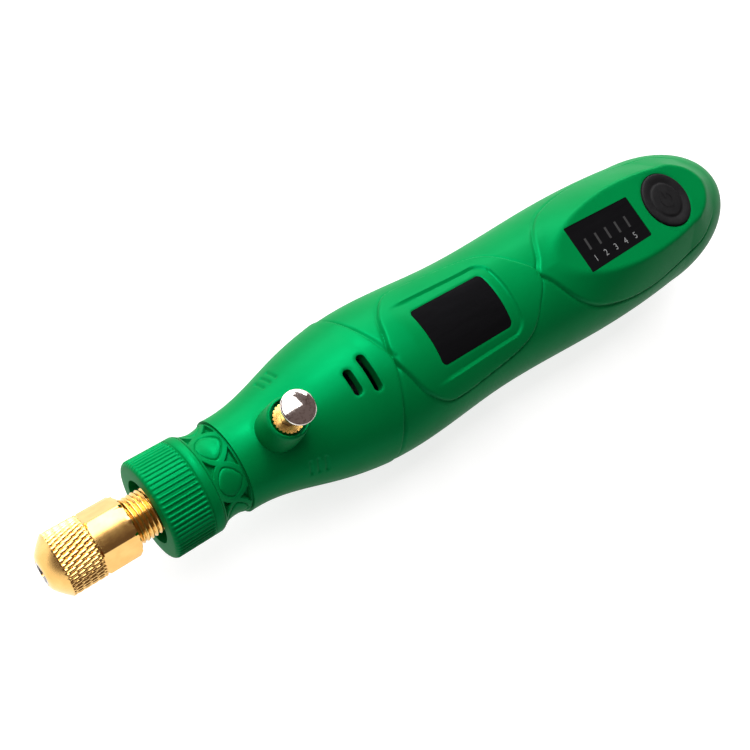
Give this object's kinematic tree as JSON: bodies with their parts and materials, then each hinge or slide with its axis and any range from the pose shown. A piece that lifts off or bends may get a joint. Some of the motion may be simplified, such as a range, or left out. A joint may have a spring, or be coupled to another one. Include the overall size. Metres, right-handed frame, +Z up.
{
  "type": "cordless pen grinder",
  "caption": "Cordless pen grinder with green plastic body, brass collet nut, ribbed nose cap, spindle lock button, label plate, speed display and power button",
  "frame": {"origin": "centre of the collet mouth, on the spindle axis", "axes": "X runs back from the collet mouth to the tail along the spindle axis, Z is up through the face with the label and display, Y is to the left of the tail"},
  "size_m": [0.1631, 0.0296, 0.0363],
  "materials": {
    "brass": "polished turned brass",
    "green_plastic": "satin moulded ABS",
    "black_gloss": "glossy black acrylic",
    "black_rubber": "matt moulded rubber",
    "nickel": "polished nickel plate",
    "steel": "ground steel",
    "spring_steel": "drawn spring wire",
    "zinc_screw": "black zinc plated screw",
    "bearing_steel": "ground bearing steel",
    "grey_polymer": "moulded polymer",
    "white_polymer": "moulded nylon",
    "ferrite": "sintered ferrite",
    "lamination": "stacked iron laminations",
    "copper": "bare copper",
    "board_green": "glass fibre board with solder mask",
    "cell_wrap": "shrink wrapped cell",
    "felt": "pressed felt"
  },
  "bodies": {
    "housing": {"bearing_outer_rings": "bearing_steel", "bearing_retainer": "steel", "nose_sleeve": "green_plastic", "upper_shell": "green_plastic", "lower_shell": "green_plastic", "rest_pads": "black_rubber", "shell_screws": "zinc_screw", "lock_bush": "brass", "lock_spring": "spring_steel", "motor_can": "steel", "motor_end_cap": "grey_polymer", "motor_terminals": "copper", "motor_magnets": "ferrite", "label_plate": "black_gloss", "display_window": "black_gloss", "display_module": "grey_polymer", "control_board": "board_green", "board_screws": "zinc_screw", "power_switch": "grey_polymer", "battery_cell": "cell_wrap", "battery_tabs": "steel", "charge_board": "board_green", "charge_socket": "nickel", "socket_tongue": "grey_polymer"},
    "spindle": {"spindle": "brass", "bearing_inner_rings": "bearing_steel", "shaft_coupling": "white_polymer", "motor_shaft": "steel", "rotor_core": "lamination", "commutator": "copper"},
    "collet": {"collet": "steel"},
    "nut": {"collet_nut": "brass"},
    "seal": {"dust_seal": "felt"},
    "cap": {"nose_cap": "green_plastic"},
    "lock": {"lock_pin": "steel", "lock_knob": "nickel"},
    "button": {"power_button": "black_rubber", "switch_plunger": "grey_polymer"}
  },
  "joints": [
    {"name": "spindle_spin", "type": "hinge", "parent": "housing", "child": "spindle", "pos_m": [0, 0, 0], "axis": [-1, 0, 0], "continuous": true},
    {"name": "collet_slide", "type": "slide", "parent": "spindle", "child": "collet", "axis": [-1, 0, 0], "range_m": [0, 0.00225]},
    {"name": "nut_turn", "type": "hinge", "parent": "collet", "child": "nut", "pos_m": [0, 0, 0], "axis": [-1, 0, 0], "range_deg": [0, 1080.5]},
    {"name": "seal_slide", "type": "slide", "parent": "housing", "child": "seal", "axis": [-1, 0, 0], "range_m": [0, 0.003]},
    {"name": "cap_turn", "type": "hinge", "parent": "seal", "child": "cap", "pos_m": [0, 0, 0], "axis": [-1, 0, 0], "range_deg": [0, 1080.5]},
    {"name": "lock_press", "type": "slide", "parent": "housing", "child": "lock", "axis": [0, 0, -1], "range_m": [0, 0.0026], "stiffness_N_per_m": 400, "deforming": ["lock_spring"]},
    {"name": "button_press", "type": "slide", "parent": "housing", "child": "button", "axis": [0, 0, -1], "range_m": [0, 0.0006], "stiffness_N_per_m": 1500}
  ],
  "couplings": [
    {"joint": "nut_turn", "follows": "collet_slide", "rad_per_m": 8377.6},
    {"joint": "cap_turn", "follows": "seal_slide", "rad_per_m": 6283.2}
  ]
}
